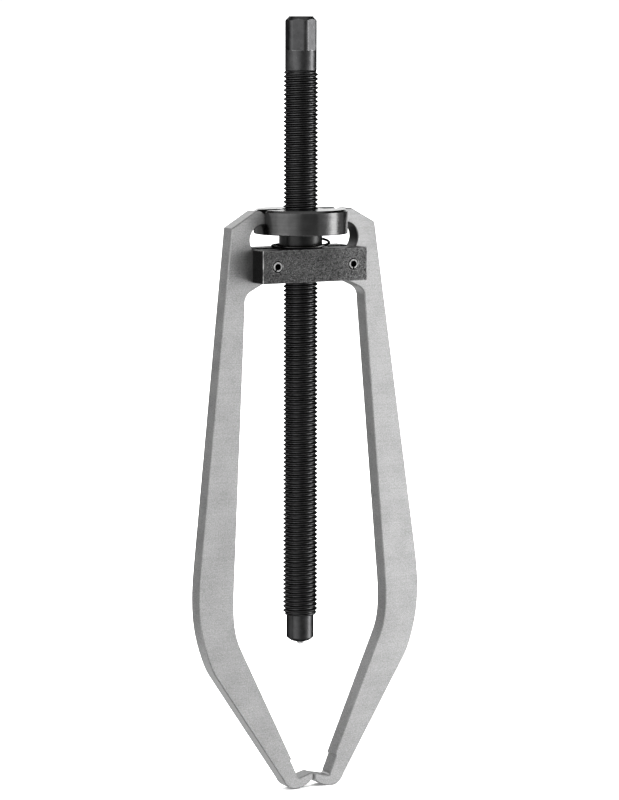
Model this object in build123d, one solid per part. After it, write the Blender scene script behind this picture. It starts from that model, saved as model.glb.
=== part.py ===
"""Self-centring two-arm gear puller: one solid per separate piece, each written to parts/NAME.step.

Millimetres. The origin is the point of the thrust ball at the lower end of the forcing screw.
+Z runs up the screw to its hexagon, X runs across the two arms, and Y through their thickness.
"""

import math
import os

from build123d import *

# forcing screw
SCREW_TOP_Z = 284.5
HEX_BOTTOM_Z = 269.5
HEX_ACROSS_FLATS = 13.0
HEX_CORNER_ANGLE = 19.5
HEX_CORNER_DIA = 14.24
NECK_DIA = 14.2
HEX_TOP_CHAMFER = 1.8
THREAD_TOP_Z = 260.6
THREAD_BOTTOM_Z = 14.0
THREAD_OUTER_DIA = 15.7
THREAD_ROOT_DIA = 13.6
THREAD_PITCH = 2.0
THREAD_CREST = 0.3
THREAD_ROOT = 0.3
TIP_DIA = 12.5
TIP_FACE_Z = 1.75
TIP_FACE_DIA = 7.0
TIP_SHOULDER_Z = 2.3
TIP_SHOULDER_DIA = 9.4
TIP_CHAMFER_TOP_Z = 3.6

# thrust ball
BALL_DIA = 4.0
BALL_CLEARANCE = 0.05

# collar: flange with two radial slots, and a hub that guides the cross block
COLLAR_DIA = 42.4
COLLAR_TOP_Z = 198.6
COLLAR_BOTTOM_Z = 187.6
COLLAR_EDGE = 1.0
COLLAR_BORE_DIA = 15.8
LIP_TOP_Z = 192.0
SLOT_WIDTH = 8.4
SLOT_INNER_X = 9.9
HUB_DIA = 19.5
HUB_BOTTOM_Z = 167.3

# cross block
BLOCK_LENGTH = 53.8
BLOCK_DEPTH = 27.6
BLOCK_TOP_Z = 181.35
BLOCK_BOTTOM_Z = 166.5
BLOCK_BORE_DIA = 19.7
BLOCK_SLOT_WIDTH = 8.3
BLOCK_SLOT_INNER_X = 12.4
BLOCK_CORNER_RADIUS = 0.7
BLOCK_EDGE = 0.2

# pivot pins
PIVOT_X = 19.5
PIVOT_Z = 174.0
PIN_DIA = 5.0
PIN_BORE_DIA = 3.0
PIN_LENGTH = 28.0
PIN_SLIT = 0.8
PIN_EDGE = 0.4
LEFT_SLIT_ANGLE = -122.0
RIGHT_SLIT_ANGLE = -92.0
PIN_HOLE_EDGE = 0.35

# arms
ARM_THICKNESS = 8.0
ARM_BORE_DIA = 5.1
ARM_EDGE = 0.4
ARM_REST_SWING = 1.29

# spring between the block and the flange: one turn, in degrees from its lower end
SPRING_WIRE = 1.2
SPRING_MEAN_DIA = 25.6
SPRING_START_ANGLE = 110.0
SPRING_TURN = 360.0
SPRING_FLAT = 135.0
SPRING_BEND = 40.0
SPRING_GAP = 0.03

os.makedirs("parts", exist_ok=True)


def write(name, shape):
    export_step(shape, f"parts/{name}.step")


def screw():
    """The screw: hexagon with turned corners, neck, ring-grooved thread, pilot tip and the ball's seat."""
    r_out = THREAD_OUTER_DIA / 2
    r_root = THREAD_ROOT_DIA / 2
    flank = (THREAD_PITCH - THREAD_CREST - THREAD_ROOT) / 2
    r_tip = TIP_DIA / 2
    r_neck = NECK_DIA / 2
    r_hex = HEX_CORNER_DIA / 2
    pts = [(0, TIP_FACE_Z), (TIP_FACE_DIA / 2, TIP_FACE_Z)]
    pts.append((TIP_SHOULDER_DIA / 2, TIP_SHOULDER_Z))
    pts.append((r_tip, TIP_CHAMFER_TOP_Z))
    pts.append((r_tip, THREAD_BOTTOM_Z))
    pts.append((r_root, THREAD_BOTTOM_Z))
    turns = int((THREAD_TOP_Z - THREAD_BOTTOM_Z) / THREAD_PITCH)
    z = THREAD_BOTTOM_Z + 0.2
    for _ in range(turns):
        pts.append((r_root, z))
        pts.append((r_out, z + flank))
        pts.append((r_out, z + flank + THREAD_CREST))
        pts.append((r_root, z + 2 * flank + THREAD_CREST))
        z += THREAD_PITCH
    pts.append((r_root, THREAD_TOP_Z - 0.1))
    pts.append((r_neck, THREAD_TOP_Z + 0.4))
    pts.append((r_neck, HEX_BOTTOM_Z))
    pts.append((r_hex, HEX_BOTTOM_Z))
    pts.append((r_hex, SCREW_TOP_Z - HEX_TOP_CHAMFER))
    pts.append((r_hex - HEX_TOP_CHAMFER, SCREW_TOP_Z))
    pts.append((0, SCREW_TOP_Z))
    section = make_face(Polyline(*[(r, 0, h) for r, h in pts], close=True))
    body = revolve(section, Axis.Z, 360)
    hexagon = RegularPolygon(HEX_ACROSS_FLATS / 2, 6, major_radius=False, rotation=HEX_CORNER_ANGLE)
    ring = Plane.XY.offset(HEX_BOTTOM_Z) * Circle(NECK_DIA)
    cutter = extrude(ring, SCREW_TOP_Z - HEX_BOTTOM_Z + 1)
    core = extrude(Plane.XY.offset(HEX_BOTTOM_Z) * hexagon, SCREW_TOP_Z - HEX_BOTTOM_Z + 1)
    body = body - (cutter - core)
    seat = Pos(0, 0, BALL_DIA / 2) * Sphere(BALL_DIA / 2 + BALL_CLEARANCE)
    return body - seat


def thrust_ball():
    return Pos(0, 0, BALL_DIA / 2) * Sphere(BALL_DIA / 2)


def slab(x0, x1, width, z0, z1):
    """A box between two X planes and two Z planes, centred across Y."""
    box = Box(x1 - x0, width, z1 - z0)
    return Pos((x0 + x1) / 2, 0, (z0 + z1) / 2) * box


def collar():
    r = COLLAR_DIA / 2
    e = COLLAR_EDGE
    hub = HUB_DIA / 2
    bore = COLLAR_BORE_DIA / 2
    pts = [(bore, HUB_BOTTOM_Z + 0.5), (bore + 0.5, HUB_BOTTOM_Z), (hub - 0.5, HUB_BOTTOM_Z)]
    pts += [(hub, HUB_BOTTOM_Z + 0.5), (hub, COLLAR_BOTTOM_Z), (r - 0.3, COLLAR_BOTTOM_Z)]
    pts += [(r, COLLAR_BOTTOM_Z + 0.3), (r, COLLAR_TOP_Z - e), (r - e, COLLAR_TOP_Z)]
    pts += [(bore + 0.8, COLLAR_TOP_Z), (bore, COLLAR_TOP_Z - 0.8)]
    section = make_face(Polyline(*[(a, 0, h) for a, h in pts], close=True))
    body = revolve(section, Axis.Z, 360)
    for side in (-1, 1):
        ends = sorted((side * SLOT_INNER_X, side * (r + 5)))
        body = body - slab(ends[0], ends[1], SLOT_WIDTH, LIP_TOP_Z, COLLAR_TOP_Z + 5)
    return body


def cross_block():
    half = BLOCK_LENGTH / 2
    body = slab(-half, half, BLOCK_DEPTH, BLOCK_BOTTOM_Z, BLOCK_TOP_Z)
    body = fillet(body.edges().filter_by(Axis.Z), BLOCK_CORNER_RADIUS)
    top = body.faces().sort_by(Axis.Z)[-1]
    bottom = body.faces().sort_by(Axis.Z)[0]
    body = chamfer(top.edges() + bottom.edges(), BLOCK_EDGE)
    for side in (-1, 1):
        ends = sorted((side * BLOCK_SLOT_INNER_X, side * (half + 5)))
        body = body - slab(ends[0], ends[1], BLOCK_SLOT_WIDTH, BLOCK_BOTTOM_Z - 5, BLOCK_TOP_Z + 5)
    height = BLOCK_TOP_Z - BLOCK_BOTTOM_Z
    mid = (BLOCK_TOP_Z + BLOCK_BOTTOM_Z) / 2
    body = body - Pos(0, 0, mid) * Cylinder(BLOCK_BORE_DIA / 2, height + 2)
    for side in (-1, 1):
        hole = Cylinder(PIN_DIA / 2, BLOCK_DEPTH + 2)
        body = body - Pos(side * PIVOT_X, 0, PIVOT_Z) * Rot(90, 0, 0) * hole
        for end in (-1, 1):
            depth = PIN_HOLE_EDGE
            sink = Cone(PIN_DIA / 2, PIN_DIA / 2 + depth, depth)
            y = end * (BLOCK_DEPTH / 2 - depth / 2)
            body = body - Pos(side * PIVOT_X, y, PIVOT_Z) * Rot(-90 * end, 0, 0) * sink
    return body


def pivot_pin(side, slit_angle):
    """A slotted spring pin, rolled from strip, with chamfered ends."""
    r = PIN_DIA / 2
    half = PIN_LENGTH / 2
    e = PIN_EDGE
    bore = PIN_BORE_DIA / 2
    pts = [(bore, -half), (r - e, -half), (r, -half + e), (r, half - e), (r - e, half), (bore, half)]
    section = make_face(Polyline(*[(a, 0, h) for a, h in pts], close=True))
    tube = revolve(section, Axis.Z, 360)
    tube = tube - Pos(r, 0, 0) * Box(2 * r - 0.6, PIN_SLIT, PIN_LENGTH + 2)
    tube = Rot(90, 0, 0) * (Rot(0, 0, slit_angle) * tube)
    return Pos(side * PIVOT_X, 0, PIVOT_Z) * tube


def arm_outline():
    """The arm's side profile as a closed wire, x outwards from the screw and z from the pivot."""
    nose_top = 24.4
    under = 18.3
    outer_slope = 0.126
    outer_top = Vector(36.9, 17.5)
    elbow_start = Vector(outer_top.X + outer_slope * (17.5 + 134.0), -134.0)
    elbow_end = Vector(49.2, -184.5)
    heel = Vector(15.9, -235.8)
    nose = Polyline((14.6, under), (14.6, 19.6), (22.2, nose_top), (24.8, nose_top), outer_top)
    outer = Line(outer_top, elbow_start)
    mid = [Vector(57.2, -149.0), Vector(56.5, -162.0), Vector(53.4, -175.0)]
    tangents = [elbow_start - outer_top, heel - elbow_end]
    elbow = Spline(elbow_start, *mid, elbow_end, tangents=[t.normalized() for t in tangents])
    lower = Line(elbow_end, heel)
    toe = ThreePointArc(heel, (13.5, -239.0), (9.4, -240.4)) \
        + ThreePointArc((9.4, -240.4), (4.4, -239.4), (0.6, -236.9))
    tip = Polyline((0.6, -236.9), (0.5, -234.5), (1.0, -233.9), (7.0, -235.4)) \
        + ThreePointArc((7.0, -235.4), (8.3, -235.3), (8.8, -234.2))
    relief = Polyline((8.8, -234.2), (12.05, -227.0), (11.5, -226.3))
    inner_low = Line((11.5, -226.3), (36.6, -172.5))
    knee_mid = [Vector(39.1, -164.5), Vector(39.85, -154.0)]
    knee_end = Vector(39.4, -143.5)
    knee_tangents = [Vector(25.1, 53.8).normalized(), Vector(-0.0672, 1).normalized()]
    knee = Spline((36.6, -172.5), *knee_mid, knee_end, tangents=knee_tangents)
    inner_high = Line(knee_end, (31.05, -17.5))
    shoulder = ThreePointArc((31.05, -17.5), (30.35, -13.6), (28.0, -11.3)) \
        + Line((28.0, -11.3), (21.8, -8.3))
    boss = Polyline((21.8, -8.3), (16.6, -6.4), (13.4, -2.8), (13.2, 2.2), (15.6, 5.6), (24.4, 5.6))
    notch = ThreePointArc((24.4, 5.6), (27.8, 11.7), (21.2, under))
    return nose + outer + elbow + lower + toe + tip + relief + inner_low + knee + inner_high \
        + shoulder + boss + notch + Line((21.2, under), (14.6, under))


def arm(side, swing):
    """One arm, swung outwards by swing degrees from the symmetric pose about its pivot."""
    face = make_face(arm_outline().edges())
    flat = extrude(face, ARM_THICKNESS / 2, both=True)
    flat = flat - Pos(PIVOT_X, 0, 0) * Cylinder(ARM_BORE_DIA / 2, ARM_THICKNESS + 2)
    rims = flat.faces().filter_by(Axis.Z)
    edges = [e for f in rims for e in f.outer_wire().edges()]
    flat = chamfer(edges, ARM_EDGE)
    upright = Rot(90, 0, 0) * flat
    centred = Pos(-PIVOT_X, 0, 0) * upright
    swung = Rot(0, -swing, 0) * centred
    placed = Pos(PIVOT_X, 0, PIVOT_Z) * swung
    if side < 0:
        placed = mirror(placed, Plane.YZ)
    return placed


def spring_rise(along):
    """Share of the spring's height reached at that many degrees: flat, then a bend, then a straight climb."""
    past = along - SPRING_FLAT
    climb = SPRING_TURN - SPRING_FLAT - SPRING_BEND / 2
    if past <= 0:
        return 0.0
    if past < SPRING_BEND:
        return past * past / (2 * SPRING_BEND) / climb
    return (past - SPRING_BEND / 2) / climb


def spring():
    """One turn of wire that lies on the block, then climbs to the flange."""
    r = SPRING_MEAN_DIA / 2
    low = BLOCK_TOP_Z + SPRING_WIRE / 2 + SPRING_GAP
    high = COLLAR_BOTTOM_Z - SPRING_WIRE / 2 - SPRING_GAP
    steps = 18
    pts = []
    for i in range(steps + 1):
        along = SPRING_TURN * i / steps
        a = math.radians(SPRING_START_ANGLE + along)
        pts.append((r * math.cos(a), r * math.sin(a), low + (high - low) * spring_rise(along)))
    path = Spline(*pts)
    section = Plane(origin=path @ 0, z_dir=path % 0) * Circle(SPRING_WIRE / 2)
    return sweep(section, path=path, is_frenet=False)


write("forcing_screw", screw())
write("thrust_ball", thrust_ball())
write("collar", collar())
write("cross_block", cross_block())
write("left_pivot_pin", pivot_pin(-1, LEFT_SLIT_ANGLE))
write("right_pivot_pin", pivot_pin(1, RIGHT_SLIT_ANGLE))
write("left_arm", arm(-1, -ARM_REST_SWING))
write("right_arm", arm(1, ARM_REST_SWING))
write("return_spring", spring())
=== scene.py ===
"""Looks of a two-arm gear puller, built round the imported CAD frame. Metres, +Z up the forcing screw."""
import math

import bmesh
import bpy
import numpy as np
from mathutils import Matrix, Vector


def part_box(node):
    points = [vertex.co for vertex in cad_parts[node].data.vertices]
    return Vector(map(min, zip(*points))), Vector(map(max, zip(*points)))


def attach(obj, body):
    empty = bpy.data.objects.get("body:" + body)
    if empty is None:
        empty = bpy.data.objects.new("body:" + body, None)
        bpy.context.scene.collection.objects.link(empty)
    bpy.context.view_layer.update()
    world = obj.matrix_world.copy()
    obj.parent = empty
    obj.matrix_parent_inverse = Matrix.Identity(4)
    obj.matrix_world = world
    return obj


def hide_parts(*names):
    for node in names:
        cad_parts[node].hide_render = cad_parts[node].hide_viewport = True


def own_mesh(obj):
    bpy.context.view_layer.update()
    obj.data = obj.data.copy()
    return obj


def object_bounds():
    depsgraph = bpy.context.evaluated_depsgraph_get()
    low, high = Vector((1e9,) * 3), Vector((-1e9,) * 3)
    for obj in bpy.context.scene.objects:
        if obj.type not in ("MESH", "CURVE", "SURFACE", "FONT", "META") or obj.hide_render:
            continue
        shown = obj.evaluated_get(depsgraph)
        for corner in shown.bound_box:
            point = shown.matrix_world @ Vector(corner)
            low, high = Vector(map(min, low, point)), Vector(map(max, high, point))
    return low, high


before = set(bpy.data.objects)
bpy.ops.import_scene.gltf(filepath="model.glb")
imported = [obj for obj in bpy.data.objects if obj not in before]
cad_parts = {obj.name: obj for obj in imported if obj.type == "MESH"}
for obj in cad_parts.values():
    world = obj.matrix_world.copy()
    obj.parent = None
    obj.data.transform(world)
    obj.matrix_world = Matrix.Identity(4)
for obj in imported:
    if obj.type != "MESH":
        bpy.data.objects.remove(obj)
cad_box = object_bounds()

MM = 0.001

# camera: its place, the way it looks, and how far it leans about its own axis
CAMERA_PLACE = Vector((-0.75671, -1.32425, 0.29199))
CAMERA_FORWARD = Vector((0.495055, 0.860927, -0.117154)).normalized()
CAMERA_LEAN = 0.00198
CAMERA_LENS = 152.81
CAMERA_SENSOR = 36.0

# studio lights, metres and degrees
LIGHT_DISTANCE = 1.5

# softboxes round the puller: bearing, width and glow
SOFTBOXES = (
    (-135, 30, 0.4), (-105, 30, 0.5), (-75, 30, 1.4), (-45, 30, 2.25), (-20, 20, 1.6),
    (-5, 10, 0.9), (20, 40, 0.42), (55, 25, 0.9), (74, 10, 3.4), (89, 20, 10.2), (114, 30, 0.5),
)
SOFTBOX_HEIGHTS = (-0.90, 1.00)

# the panel behind the puller, and the ones above and below it
BACKDROP_WIDTH = 40
BACKDROP_GLOW = 1.5
BACKDROP_HEIGHTS = (0.15, 0.70)
OVERHEAD_HEIGHT = 1.6
OVERHEAD_SIDE = 1.6
OVERHEAD_GLOW = 0.9
BOUNCE_HEIGHT = -0.4
BOUNCE_SIDE = 0.5
BOUNCE_GLOW = 0.9

# two panels far to the left, for the arms' outer edges: climb above level, and glow
SIDE_PANEL_BEARING = -140
SIDE_PANEL_SIZE = (1.4, 0.6)
SIDE_PANELS = ((33, 3.2), (-33, 1.7))

# the light that only the paper gets, the room, and the wall that the camera sees past the paper
PAPER_LIGHT = 9.0
PAPER_LIGHT_ANGLE = 120
ROOM_GLOW = 0.03
WALL_GLOW = 1.05
FLOOR_REACH = 60.0

# forcing screw, millimetres
SCREW_FACE = 1.75
TIP_RADIUS = 6.25
TIP_FACE_RADIUS = 3.5
TIP_SHOULDER = 2.3
TIP_SHOULDER_RADIUS = 4.7
TIP_CHAMFER_TOP = 3.6
BALL_CENTRE = 2.0
BALL_SEAT = 2.05
THREAD_LOW = 14.0
THREAD_HIGH = 260.6
PITCH = 2.0
THREAD_RUN_OUT = 1.1
# one pitch of the thread, upwards from the root: height above the root's centre, radius
THREAD_PROFILE = (
    (0.00, 6.80), (0.18, 6.83), (0.52, 7.34), (0.85, 7.79), (0.94, 7.85),
    (1.06, 7.85), (1.15, 7.79), (1.48, 7.34), (1.82, 6.83),
)
THREAD_ROOT = 6.8
THREAD_CREST = 7.85
NECK_RADIUS = 7.1
HEX_LOW = 269.5
HEX_HIGH = 284.5
HEX_FLAT = 6.5
HEX_CORNER = 7.12
HEX_TURN = math.radians(19.5)
HEX_CHAMFER = 1.8
HEX_FLAT_STEPS = 8
HEX_CORNER_STEPS = 2

# where the collar's hub meets its flange, millimetres
HUB_TOP = 187.4
HUB_BLEND = 0.4

# where the screw's edge wear and painted highlight change from the thread's to the hexagon's, millimetres
THREAD_BLEND = 0.5
WEAR_AND_HIGHLIGHT_HEIGHTS = (262.0, 268.0)

# across the block, where its face turns from dark to lighter, millimetres
BLOCK_SHADE = (5.0, 27.0)

# notch in each arm, millimetres: heights on the row's Z, and how far out it goes
NOTCH_HEIGHTS = (180.0, 192.6)
NOTCH_REACH = 28.5

# pivot pins, millimetres: how far from the screw, how high, how thick, and the inset of their rim, darkened
# by painted shade and oil
PIN_AWAY = 19.5
PIN_HEIGHT = 174.0
PIN_RADIUS = 2.5
PIN_RIM = (0.4, 0.2)

# return spring, millimetres, and degrees along it from its lower end
SPRING_RADIUS = 12.8
SPRING_WIRE = 1.2
SPRING_START = 110.0
SPRING_TURN = 360.0
SPRING_FLAT = 135.0
SPRING_BEND = 40.0
SPRING_GAP = 0.03
SPRING_STEPS = 72

# sides round the spring wire's section
SPRING_SIDES = 14


# ---------------------------------------------------------------- materials


class Finish:
    """A material under construction, with short names for the nodes it is made of."""

    def __init__(self, name, **sockets):
        self.material = bpy.data.materials.new(name)
        self.material.use_nodes = True
        self.tree = self.material.node_tree
        self.surface = self.tree.nodes["Principled BSDF"]
        self.place = self.node("TexCoord").outputs["Object"]
        for key, value in sockets.items():
            self.put(self.surface.inputs[key.replace("_", " ")], value)

    def node(self, kind, **settings):
        made = self.tree.nodes.new("ShaderNode" + kind)
        for key, value in settings.items():
            setattr(made, key, value)
        return made

    def put(self, socket, value):
        if isinstance(value, bpy.types.NodeSocket):
            self.tree.links.new(value, socket)
        else:
            socket.default_value = value

    def maths(self, operation, *values):
        made = self.node("Math", operation=operation)
        for socket, value in zip(made.inputs, values):
            self.put(socket, value)
        return made.outputs[0]

    def stretched(self, scale, turn=(0, 0, 0)):
        """Object coordinates in millimetres, times scale along each axis, turned by degrees."""
        made = self.node("Mapping")
        self.put(made.inputs["Vector"], self.place)
        made.inputs["Rotation"].default_value = [math.radians(a) for a in turn]
        made.inputs["Scale"].default_value = [s / MM for s in scale]
        return made.outputs[0]

    def noise(self, scale, detail=2.0, rough=0.5, turn=(0, 0, 0), warp=0.0):
        made = self.node("TexNoise")
        if not hasattr(scale, "__len__"):
            scale = (scale, scale, scale)
        self.put(made.inputs["Vector"], self.stretched(scale, turn))
        made.inputs["Scale"].default_value = 1.0
        made.inputs["Detail"].default_value = detail
        made.inputs["Roughness"].default_value = rough
        made.inputs["Distortion"].default_value = warp
        return made.outputs["Fac"]

    def span(self, value, low, high, to_low=0.0, to_high=1.0, smooth=False):
        made = self.node("MapRange", clamp=True)
        if smooth:
            made.interpolation_type = "SMOOTHSTEP"
        self.put(made.inputs["Value"], value)
        for key, number in zip(("From Min", "From Max", "To Min", "To Max"), (low, high, to_low, to_high)):
            self.put(made.inputs[key], number)
        return made.outputs[0]

    def grey(self, value, tint=(1.0, 1.0, 1.0)):
        made = self.node("CombineColor")
        for socket, share in zip(made.inputs, tint):
            self.put(socket, value if share == 1.0 else self.maths("MULTIPLY", value, share))
        return made.outputs[0]

    def axis(self, which):
        made = self.node("SeparateXYZ")
        self.put(made.inputs[0], self.place)
        return self.maths("DIVIDE", made.outputs[which], MM)

    def radius(self):
        """Distance from the screw's axis in millimetres."""
        square = [self.maths("POWER", self.axis(k), 2.0) for k in (0, 1)]
        return self.maths("SQRT", self.maths("ADD", *square))

    def edges(self, width):
        """1 on edges that stick out and 0 elsewhere, about width millimetres each side."""
        soft = self.node("Bevel", samples=6)
        soft.inputs["Radius"].default_value = width * MM
        plain = self.node("NewGeometry").outputs["Normal"]
        made = self.node("VectorMath", operation="DOT_PRODUCT")
        self.put(made.inputs[0], soft.outputs[0])
        self.put(made.inputs[1], plain)
        return self.span(made.outputs["Value"], 0.998, 0.90)

    def facing(self, which, low, high):
        """1 where the surface faces along that axis, either way, and 0 elsewhere."""
        made = self.node("SeparateXYZ")
        self.put(made.inputs[0], self.node("NewGeometry").outputs["Normal"])
        return self.span(self.maths("ABSOLUTE", made.outputs[which]), low, high)

    def notch_wall(self):
        """1 on the inside of the arms' notches, and 0 on the plate's faces and everywhere else."""
        across = self.facing(1, 0.80, 0.60)
        low, high = NOTCH_HEIGHTS
        above = self.span(self.axis(2), low - 1, low)
        below = self.span(self.axis(2), high + 1, high)
        near = self.maths("MULTIPLY", above, below)
        inside = self.span(self.maths("ABSOLUTE", self.axis(0)), NOTCH_REACH + 1, NOTCH_REACH)
        return self.maths("MULTIPLY", across, self.maths("MULTIPLY", near, inside))

    def bumps(self, *layers):
        """Each layer is a height, a strength and a depth in millimetres."""
        normal = None
        for height, strength, depth in layers:
            made = self.node("Bump")
            made.inputs["Strength"].default_value = strength
            made.inputs["Distance"].default_value = depth * MM
            self.put(made.inputs["Height"], height)
            if normal is not None:
                self.put(made.inputs["Normal"], normal)
            normal = made.outputs[0]
        self.put(self.surface.inputs["Normal"], normal)

    def look(self, colour, rough):
        self.put(self.surface.inputs["Base Color"], colour)
        self.put(self.surface.inputs["Roughness"], rough)
        return self.material


def ground_steel():
    """Bright plate: a fine blasted grain, faint grinding lines, worn edges lightened partly with painted
    highlight, and painted shade inside the notch.
    """
    f = Finish("ground_steel", Metallic=1.0)
    grain = f.noise(1.5, detail=2.0, rough=0.7)
    fine = f.noise(2.8, detail=1.0)
    patches = f.noise(0.12, detail=3.0)
    lines = f.noise((0.03, 0.4, 2.2), detail=2.0, turn=(0, 4, 0))
    pits = f.span(f.noise(1.1, detail=4.0, rough=0.7), 0.66, 0.78)
    value = f.maths("MULTIPLY_ADD", f.span(grain, 0.3, 0.7, -1.0, 1.0), 0.055, 0.275)
    value = f.maths("MULTIPLY_ADD", f.span(fine, 0.3, 0.7, -1.0, 1.0), 0.05, value)
    value = f.maths("MULTIPLY_ADD", f.span(patches, 0.35, 0.65, -1.0, 1.0), 0.02, value)
    value = f.maths("MULTIPLY_ADD", f.span(lines, 0.35, 0.65, -1.0, 1.0), 0.010, value)
    value = f.maths("MULTIPLY_ADD", pits, -0.12, value)
    # edge wear, partly painted highlight: the plate lighter along its edges and chamfers
    wear_and_highlight = f.maths("MULTIPLY", f.edges(0.25), f.span(f.noise(0.35, detail=3.0), 0.35, 0.6))
    value = f.maths("MULTIPLY_ADD", wear_and_highlight, 0.16, value)
    # painted shade: the inside of the arms' notches darkened, where the collar and block shade it
    scale = f.notch_wall()
    value = f.maths("MULTIPLY", value, f.maths("MULTIPLY_ADD", scale, -0.94, 1.0))
    rough = f.maths("MULTIPLY_ADD", f.span(grain, 0.3, 0.7), 0.10, 0.44)
    rough = f.maths("MULTIPLY_ADD", f.span(patches, 0.35, 0.65), 0.05, rough)
    f.bumps((grain, 0.5, 0.06), (lines, 0.15, 0.02), (pits, 0.5, -0.03))
    return f.look(f.grey(value), rough)


def black_oxide():
    """Blackened screw steel: darkest on the thread, worn to dull steel along the hexagon's corners, and
    lightened on its edges and crests partly with painted highlight.
    """
    f = Finish("black_oxide", Metallic=1.0, Specular_Tint=(0.35, 0.35, 0.35, 1.0))
    cloud = f.noise(0.35, detail=4.0, rough=0.6)
    speck = f.span(f.noise(1.7, detail=3.0, rough=0.7), 0.60, 0.74)
    # edge wear, partly painted highlight: lighter on the thread's crests and the hexagon's corners
    wear_and_highlight = f.maths("MULTIPLY", f.edges(0.22), f.span(f.noise(0.9, detail=3.0), 0.38, 0.62))
    value = f.maths("MULTIPLY_ADD", f.span(cloud, 0.3, 0.7), 0.025, 0.044)
    value = f.maths("MULTIPLY_ADD", speck, 0.04, value)
    value = f.maths("MULTIPLY", value, f.span(f.axis(2), THREAD_HIGH - THREAD_BLEND, THREAD_HIGH, 0.78, 1.0))
    value = f.maths("MULTIPLY_ADD", wear_and_highlight, f.span(f.axis(2), *WEAR_AND_HIGHLIGHT_HEIGHTS, 0.06, 0.24), value)
    rough = f.maths("MULTIPLY_ADD", f.span(cloud, 0.3, 0.7), 0.10, 0.28)
    f.bumps((f.noise(2.4, detail=3.0, rough=0.6), 0.25, 0.03), (speck, 0.4, -0.02))
    return f.look(f.grey(value, (1.0, 1.0, 1.02)), rough)


def turned_black():
    """The collar: turned, then blackened, with fine rings round its axis and a darker, duller hub."""
    f = Finish("turned_black", Metallic=1.0)
    rings = f.noise((0.02, 0.02, 5.0), detail=3.0, rough=0.6)
    face_rings = f.node("TexNoise")
    f.put(face_rings.inputs["Vector"], f.radius())
    face_rings.inputs["Scale"].default_value = 3.0
    cloud = f.noise(0.3, detail=4.0, rough=0.6)
    speck = f.span(f.noise(1.3, detail=4.0, rough=0.7), 0.64, 0.76)
    # edge wear, partly painted highlight: the collar lighter along its edges
    wear_and_highlight = f.maths("MULTIPLY", f.edges(0.25), f.span(f.noise(0.8, detail=3.0), 0.35, 0.6))
    value = f.maths("MULTIPLY_ADD", f.span(cloud, 0.3, 0.7), 0.02, 0.055)
    value = f.maths("MULTIPLY_ADD", f.span(rings, 0.35, 0.65, -1.0, 1.0), 0.008, value)
    value = f.maths("MULTIPLY_ADD", speck, 0.04, value)
    value = f.maths("MULTIPLY_ADD", wear_and_highlight, 0.12, value)
    hub = f.span(f.axis(2), HUB_TOP, HUB_TOP - HUB_BLEND)
    value = f.maths("MULTIPLY", value, f.maths("MULTIPLY_ADD", hub, -0.58, 1.0))
    rough = f.maths("MULTIPLY_ADD", f.span(cloud, 0.3, 0.7), 0.08, 0.18)
    rough = f.maths("MULTIPLY_ADD", hub, 0.10, rough)
    f.bumps((rings, 0.12, 0.02), (face_rings.outputs["Fac"], 0.2, 0.02), (speck, 0.4, -0.02))
    return f.look(f.grey(value), rough)


def blasted_grey():
    """The cross block: blasted faces with light specks, smooth sawn ends darkened with painted shade, and
    worn corners lightened partly with painted highlight.
    """
    f = Finish("blasted_grey", Metallic=1.0)
    grain = f.noise(2.0, detail=3.0, rough=0.8)
    sparkle = f.span(f.noise(2.6, detail=1.0), 0.58, 0.72)
    patches = f.noise(0.15, detail=3.0)
    nicks = f.span(f.noise(0.55, detail=4.0, rough=0.8, warp=0.6), 0.70, 0.76)
    # edge wear, partly painted highlight: the block lighter along its edges
    wear_and_highlight = f.maths("MULTIPLY", f.edges(0.45), f.span(f.noise(0.7, detail=3.0), 0.25, 0.5))
    smooth_end_and_shade = f.facing(0, 0.86, 0.97)
    value = f.maths("MULTIPLY_ADD", f.span(grain, 0.42, 0.58), 0.055, 0.006)
    value = f.maths("MULTIPLY_ADD", sparkle, 0.11, value)
    value = f.maths("MULTIPLY_ADD", f.span(patches, 0.35, 0.65, -1.0, 1.0), 0.003, value)
    value = f.maths("MULTIPLY", value, f.span(f.axis(0), *BLOCK_SHADE, 1.0, 1.6, smooth=True))
    value = f.maths("MULTIPLY_ADD", nicks, 0.30, value)
    # painted shade: the block's end faces darkened beside the shaded arms; the lower roughness further down
    # is their smooth finish
    value = f.maths("MULTIPLY", value, f.maths("MULTIPLY_ADD", smooth_end_and_shade, -0.65, 1.0))
    value = f.maths("MULTIPLY_ADD", wear_and_highlight, 0.20, value)
    # painted highlight, partly wear: the rounded upright corners between the block's faces lightened
    corner = f.maths("MULTIPLY", f.facing(0, 0.25, 0.45), f.facing(1, 0.25, 0.45))
    value = f.maths("MULTIPLY_ADD", corner, f.span(f.noise(0.3, detail=3.0), 0.4, 0.6, 0.08, 0.36), value)
    rough = f.maths("MULTIPLY_ADD", f.span(grain, 0.3, 0.7), -0.12, 0.54)
    rough = f.maths("MULTIPLY_ADD", smooth_end_and_shade, -0.22, rough)
    f.bumps((grain, 0.6, 0.09), (nicks, 0.6, -0.05))
    return f.look(f.grey(value), rough)


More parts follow.
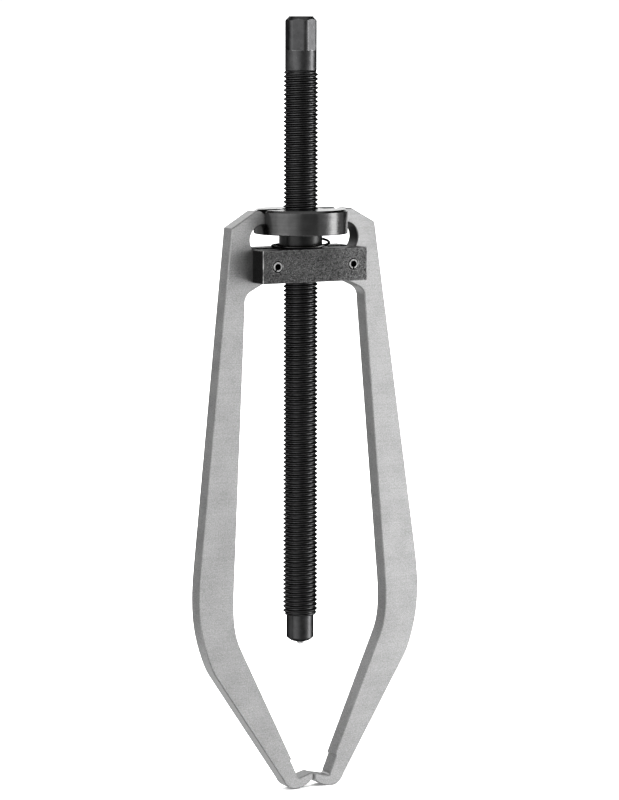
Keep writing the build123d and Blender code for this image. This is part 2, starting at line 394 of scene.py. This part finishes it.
def spring_pin_steel():
    """The rolled pins: dull steel ends with a rim darkened by painted shade and oil, and painted shade inside
    the bore and the slot.
    """
    f = Finish("spring_pin_steel", Metallic=1.0)
    cloud = f.noise(0.8, detail=4.0, rough=0.6)
    lines = f.noise((4.0, 0.05, 4.0), detail=2.0)
    value = f.maths("MULTIPLY_ADD", f.span(cloud, 0.3, 0.7), 0.12, 0.20)
    value = f.maths("MULTIPLY_ADD", f.span(lines, 0.4, 0.6), 0.05, value)
    # painted shade: everything but the pins' end faces, that is the inside of the bore and the slot, darkened
    value = f.maths("MULTIPLY", value, f.span(f.facing(1, 0.3, 0.7), 0.0, 1.0, 0.12, 1.0))
    # painted shade of the gap round each pin, plus oil: a thin dark ring at the pin's edge
    sideways = f.maths("SUBTRACT", f.maths("ABSOLUTE", f.axis(0)), PIN_AWAY)
    upwards = f.maths("SUBTRACT", f.axis(2), PIN_HEIGHT)
    square = f.maths("ADD", f.maths("POWER", sideways, 2.0), f.maths("POWER", upwards, 2.0))
    rim = f.span(f.maths("SQRT", square), *(PIN_RADIUS - inset for inset in PIN_RIM))
    value = f.maths("MULTIPLY", value, f.maths("MULTIPLY_ADD", rim, -0.9, 1.0))
    rough = f.span(cloud, 0.3, 0.7, 0.26, 0.42)
    f.bumps((cloud, 0.3, 0.04), (lines, 0.2, 0.02))
    return f.look(f.grey(value), rough)


def oiled_wire():
    """The spring: dark drawn wire with marks along its length."""
    f = Finish("oiled_wire", Metallic=1.0, Specular_Tint=(0.15, 0.15, 0.15, 1.0))
    cloud = f.noise(0.6, detail=4.0, rough=0.6)
    drawn = f.noise((0.6, 0.6, 6.0), detail=2.0)
    value = f.maths("MULTIPLY_ADD", f.span(cloud, 0.3, 0.7), 0.02, 0.025)
    value = f.maths("MULTIPLY_ADD", f.span(drawn, 0.4, 0.6), 0.015, value)
    rough = f.span(cloud, 0.3, 0.7, 0.15, 0.24)
    f.bumps((drawn, 0.2, 0.02),)
    return f.look(f.grey(value), rough)


def polished_ball():
    """The thrust ball: polished bearing steel, with a faint band where it turns on its work."""
    f = Finish("polished_ball", Metallic=1.0)
    cloud = f.noise(1.2, detail=3.0)
    band = f.span(f.axis(2), 0.5, 0.1)
    value = f.maths("MULTIPLY_ADD", f.span(cloud, 0.3, 0.7), 0.06, 0.86)
    rough = f.maths("MULTIPLY_ADD", band, 0.15, f.span(cloud, 0.3, 0.7, 0.22, 0.32))
    f.bumps((cloud, 0.1, 0.01),)
    return f.look(f.grey(value), rough)


def paper_floor():
    """Plain pale studio paper."""
    f = Finish("paper_floor", Specular_IOR_Level=0.2)
    fibre = f.noise(0.5, detail=3.0)
    value = f.span(fibre, 0.3, 0.7, 0.88, 0.90)
    f.bumps((fibre, 0.05, 0.1),)
    return f.look(f.grey(value), 0.9)


# ---------------------------------------------------------------- meshes


def mesh_object(name, points, faces, material, smooth_angle=30.0):
    """An object from points in millimetres, with doubles merged and faces turned outwards."""
    mesh = bpy.data.meshes.new(name)
    mesh.from_pydata([tuple(p) for p in np.asarray(points) * MM], [], faces)
    work = bmesh.new()
    work.from_mesh(mesh)
    bmesh.ops.remove_doubles(work, verts=work.verts, dist=0.002 * MM)
    bmesh.ops.dissolve_degenerate(work, edges=work.edges, dist=0.002 * MM)
    loose = [v for v in work.verts if not v.link_faces]
    bmesh.ops.delete(work, geom=loose, context="VERTS")
    bmesh.ops.recalc_face_normals(work, faces=work.faces)
    work.to_mesh(mesh)
    work.free()
    mesh.shade_smooth()
    mesh.set_sharp_from_angle(angle=math.radians(smooth_angle))
    mesh.materials.append(material)
    made = bpy.data.objects.new(name, mesh)
    bpy.context.scene.collection.objects.link(made)
    return made


def column_angles():
    """Angles of the screw's columns of points: steps across each flat and each turned corner."""
    half_flat = math.acos(HEX_FLAT / HEX_CORNER)
    angles = []
    for side in range(6):
        middle = HEX_TURN + math.radians(30 + 60 * side)
        for step in range(HEX_FLAT_STEPS):
            angles.append(middle - half_flat + 2 * half_flat * step / HEX_FLAT_STEPS)
        corner = math.radians(60) - 2 * half_flat
        for step in range(HEX_CORNER_STEPS):
            angles.append(middle + half_flat + corner * step / HEX_CORNER_STEPS)
    return np.array(angles)


def hex_radius(angles):
    """Radius of the hexagon with its corners turned down to the neck."""
    from_flat = (angles - HEX_TURN) % math.radians(60) - math.radians(30)
    return np.minimum(HEX_FLAT / np.cos(from_flat), HEX_CORNER)


def rings_to_faces(first, count, columns, close_top=None, close_bottom=None):
    """Faces between rings of points numbered from first, and fans to an end point if one is given."""
    faces = []
    for row in range(count - 1):
        for col in range(columns):
            a = first + row * columns + col
            b = first + row * columns + (col + 1) % columns
            faces.append((a, b, b + columns, a + columns))
    for end, row in ((close_bottom, 0), (close_top, count - 1)):
        if end is not None:
            for col in range(columns):
                a = first + row * columns + col
                b = first + row * columns + (col + 1) % columns
                faces.append((a, b, end))
    return faces


def thread_surface(angles):
    """The helical thread: rows of points that climb one pitch in each turn, cut off at both ends."""
    per_turn = len(THREAD_PROFILE)
    offsets = np.array([p[0] for p in THREAD_PROFILE])
    radii = np.array([p[1] for p in THREAD_PROFILE])
    turns = int((THREAD_HIGH - THREAD_LOW) / PITCH) + 3
    columns = len(angles)
    climb = (angles - angles[0]) / (2 * math.pi) * PITCH
    base = THREAD_LOW - 2 * PITCH
    heights = base + np.repeat(np.arange(turns) * PITCH, per_turn) + np.tile(offsets, turns)
    z = heights[:, None] + climb[None, :]
    r = np.repeat(np.tile(radii, turns)[:, None], columns, axis=1)
    z = np.clip(z, THREAD_LOW, THREAD_HIGH)
    to_end = np.minimum(z - THREAD_LOW, THREAD_HIGH - z)
    r = np.minimum(r, THREAD_ROOT + to_end / THREAD_RUN_OUT * (THREAD_CREST - THREAD_ROOT))
    points = np.stack([r * np.cos(angles), r * np.sin(angles), z], axis=-1)
    faces = []
    for row in range(len(heights) - 1):
        for col in range(columns):
            a = row * columns + col
            wraps = col == columns - 1
            if wraps and row + 1 + per_turn >= len(heights):
                continue
            b = (row + per_turn) * columns if wraps else a + 1
            face = (a, b, b + columns, a + columns)
            corners = [z[v // columns, v % columns] for v in face]
            if max(corners) - min(corners) > 1e-9 or THREAD_LOW < corners[0] < THREAD_HIGH:
                faces.append(face)
    return points.reshape(-1, 3), faces


def forcing_screw(material):
    """Hexagon, neck, true right-hand helical thread, plain tip and the ball's seat, as one skin."""
    angles = column_angles()
    points, faces = thread_surface(angles)
    columns = len(angles)
    across = hex_radius(angles)
    full = np.ones(columns)
    cone_top = HEX_CORNER - HEX_CHAMFER
    crown = HEX_HIGH - (across - cone_top)
    seat_edge = math.sqrt(BALL_SEAT ** 2 - (BALL_CENTRE - SCREW_FACE) ** 2)
    upper = [
        (THREAD_ROOT * full, THREAD_HIGH * full),
        (NECK_RADIUS * full, THREAD_HIGH * full),
        (NECK_RADIUS * full, HEX_LOW * full),
        (across, HEX_LOW * full),
        (across, crown),
        (cone_top * full, HEX_HIGH * full),
    ]
    lower = [
        (THREAD_ROOT * full, THREAD_LOW * full),
        (TIP_RADIUS * full, THREAD_LOW * full),
        (TIP_RADIUS * full, TIP_CHAMFER_TOP * full),
        (TIP_SHOULDER_RADIUS * full, TIP_SHOULDER * full),
        (TIP_FACE_RADIUS * full, SCREW_FACE * full),
        (seat_edge * full, SCREW_FACE * full),
    ]
    for step in range(1, 6):
        rise = math.radians(90 * step / 6)
        lower.append((BALL_SEAT * math.cos(rise) * full, (BALL_CENTRE + BALL_SEAT * math.sin(rise)) * full))
    for rings, end_height in ((upper, HEX_HIGH), (lower, BALL_CENTRE + BALL_SEAT)):
        first = len(points)
        rows = [np.stack([r * np.cos(angles), r * np.sin(angles), z], axis=-1) for r, z in rings]
        points = np.concatenate([points, *rows, [[0, 0, end_height]]])
        faces += rings_to_faces(first, len(rows), columns, close_top=len(points) - 1)
    return mesh_object("puller_screw", points, faces, material)


def spring_rise(along):
    """Share of the spring's height reached at that many degrees: flat, then a bend, then a straight climb."""
    past = along - SPRING_FLAT
    climb = SPRING_TURN - SPRING_FLAT - SPRING_BEND / 2
    if past <= 0:
        return 0.0
    if past < SPRING_BEND:
        return past * past / (2 * SPRING_BEND) / climb
    return (past - SPRING_BEND / 2) / climb


def return_spring(material):
    """One turn of wire that lies on the block, then climbs to the flange, with cut ends."""
    reach = SPRING_WIRE / 2
    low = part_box("cross_block")[1].z / MM + SPRING_GAP + reach
    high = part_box("return_spring")[1].z / MM - reach
    count = SPRING_STEPS + 1
    points = []
    for i in range(count):
        along = SPRING_TURN * i / SPRING_STEPS
        angle = math.radians(SPRING_START + along)
        outwards = Vector((math.cos(angle), math.sin(angle), 0))
        centre = outwards * SPRING_RADIUS + Vector((0, 0, low + (high - low) * spring_rise(along)))
        for side in range(SPRING_SIDES):
            around = 2 * math.pi * side / SPRING_SIDES
            across = outwards * reach * math.cos(around)
            upwards = Vector((0, 0, reach * math.sin(around)))
            points.append(centre + across + upwards)
    ends = []
    for at in (0, (count - 1) * SPRING_SIDES):
        ends.append(sum((points[at + k] for k in range(SPRING_SIDES)), Vector()) / SPRING_SIDES)
    points += ends
    faces = rings_to_faces(0, count, SPRING_SIDES, close_top=len(points) - 1, close_bottom=len(points) - 2)
    return mesh_object("puller_spring", points, faces, material, 50.0)


# ---------------------------------------------------------------- studio


def make_camera():
    data = bpy.data.cameras.new("camera")
    data.sensor_fit = "VERTICAL"
    data.sensor_height = CAMERA_SENSOR
    data.lens = CAMERA_LENS
    data.clip_start = 0.05
    data.clip_end = 200.0
    right = CAMERA_FORWARD.cross(Vector((0, 0, 1))).normalized()
    up = right.cross(CAMERA_FORWARD)
    lean = Matrix.Rotation(CAMERA_LEAN, 3, -CAMERA_FORWARD)
    axes = Matrix((lean @ right, lean @ up, -CAMERA_FORWARD)).transposed()
    made = bpy.data.objects.new("camera", data)
    made.matrix_world = Matrix.Translation(CAMERA_PLACE) @ axes.to_4x4()
    bpy.context.scene.collection.objects.link(made)
    bpy.context.scene.camera = made


def panel_light(name, place, aim, width, height, glow):
    """A flat panel light of even glow, hidden from the camera."""
    data = bpy.data.lights.new(name, "AREA")
    data.shape = "RECTANGLE"
    data.size = width
    data.size_y = height
    data.energy = glow * math.pi * width * height
    made = bpy.data.objects.new(name, data)
    made.location = place
    made.rotation_euler = aim.to_track_quat("-Z", "Y").to_euler()
    made.visible_camera = False
    bpy.context.scene.collection.objects.link(made)


def bearing_vector(bearing, climb=0.0):
    """Unit vector at a bearing, in degrees to the right of the camera's side, and a climb above level."""
    turn = math.atan2(-CAMERA_FORWARD.y, -CAMERA_FORWARD.x) + math.radians(bearing)
    rise = math.radians(climb)
    return Vector((math.cos(turn) * math.cos(rise), math.sin(turn) * math.cos(rise), math.sin(rise)))


def softbox(bearing, width_angle, glow, low, high):
    """An upright panel light that stands round the puller between two heights."""
    outwards = bearing_vector(bearing)
    width = 2 * LIGHT_DISTANCE * math.tan(math.radians(width_angle / 2))
    place = outwards * LIGHT_DISTANCE + Vector((0, 0, (low + high) / 2))
    panel_light("softbox", place, -outwards, width, high - low, glow)


def make_lights(floor):
    for bearing, width_angle, glow in SOFTBOXES:
        softbox(bearing, width_angle, glow, *SOFTBOX_HEIGHTS)
    softbox(180, BACKDROP_WIDTH, BACKDROP_GLOW, *BACKDROP_HEIGHTS)
    for climb, glow in SIDE_PANELS:
        outwards = bearing_vector(SIDE_PANEL_BEARING, climb)
        panel_light("side_panel", outwards * LIGHT_DISTANCE, -outwards, *SIDE_PANEL_SIZE, glow)
    above = Vector((0, 0, OVERHEAD_HEIGHT))
    panel_light("overhead", above, -above, OVERHEAD_SIDE, OVERHEAD_SIDE, OVERHEAD_GLOW)
    below = Vector((0, 0, BOUNCE_HEIGHT))
    panel_light("bounce", below, -below, BOUNCE_SIDE, BOUNCE_SIDE, BOUNCE_GLOW)
    paper_light = bpy.data.lights.new("paper_light", "SUN")
    paper_light.energy = PAPER_LIGHT
    paper_light.angle = math.radians(PAPER_LIGHT_ANGLE)
    lamp = bpy.data.objects.new("paper_light", paper_light)
    bpy.context.scene.collection.objects.link(lamp)
    lit = bpy.data.collections.new("lit_by_paper_light")
    lit.objects.link(floor)
    lamp.light_linking.receiver_collection = lit


def make_world():
    """Dim room light, with a white wall where the camera looks past the paper."""
    world = bpy.data.worlds.new("studio")
    world.use_nodes = True
    nodes = world.node_tree.nodes
    links = world.node_tree.links
    room = nodes["Background"]
    room.inputs["Color"].default_value = (1.0, 1.0, 1.0, 1.0)
    room.inputs["Strength"].default_value = ROOM_GLOW
    wall = nodes.new("ShaderNodeBackground")
    wall.inputs["Color"].default_value = (1.0, 1.0, 1.0, 1.0)
    wall.inputs["Strength"].default_value = WALL_GLOW
    path = nodes.new("ShaderNodeLightPath")
    mix = nodes.new("ShaderNodeMixShader")
    links.new(path.outputs["Is Camera Ray"], mix.inputs[0])
    links.new(room.outputs[0], mix.inputs[1])
    links.new(wall.outputs[0], mix.inputs[2])
    links.new(mix.outputs[0], nodes["World Output"].inputs["Surface"])
    bpy.context.scene.world = world


def make_floor(material):
    low = cad_box[0].z
    far = FLOOR_REACH
    mesh = bpy.data.meshes.new("studio_floor")
    corners = [(-far, -far, low), (far, -far, low), (far, far, low), (-far, far, low)]
    mesh.from_pydata(corners, [], [(0, 1, 2, 3)])
    mesh.materials.append(material)
    made = bpy.data.objects.new("studio_floor", mesh)
    bpy.context.scene.collection.objects.link(made)
    made.visible_glossy = False
    made.visible_shadow = False
    return made


# ---------------------------------------------------------------- the puller


def finish_node(name, material):
    """Gives a carried-over CAD node its material."""
    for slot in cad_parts[name].material_slots:
        slot.material = material


make_camera()
make_world()
make_lights(make_floor(paper_floor()))

steel = ground_steel()
finish_node("left_arm", steel)
finish_node("right_arm", steel)
finish_node("collar", turned_black())
finish_node("cross_block", blasted_grey())
finish_node("thrust_ball", polished_ball())
pin_steel = spring_pin_steel()
finish_node("left_pivot_pin", pin_steel)
finish_node("right_pivot_pin", pin_steel)

screw = forcing_screw(black_oxide())
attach(screw, "screw")
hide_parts("forcing_screw")

spring = return_spring(oiled_wire())
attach(spring, "block")
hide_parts("return_spring")
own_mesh(spring)

bpy.context.scene.view_settings.view_transform = "Standard"
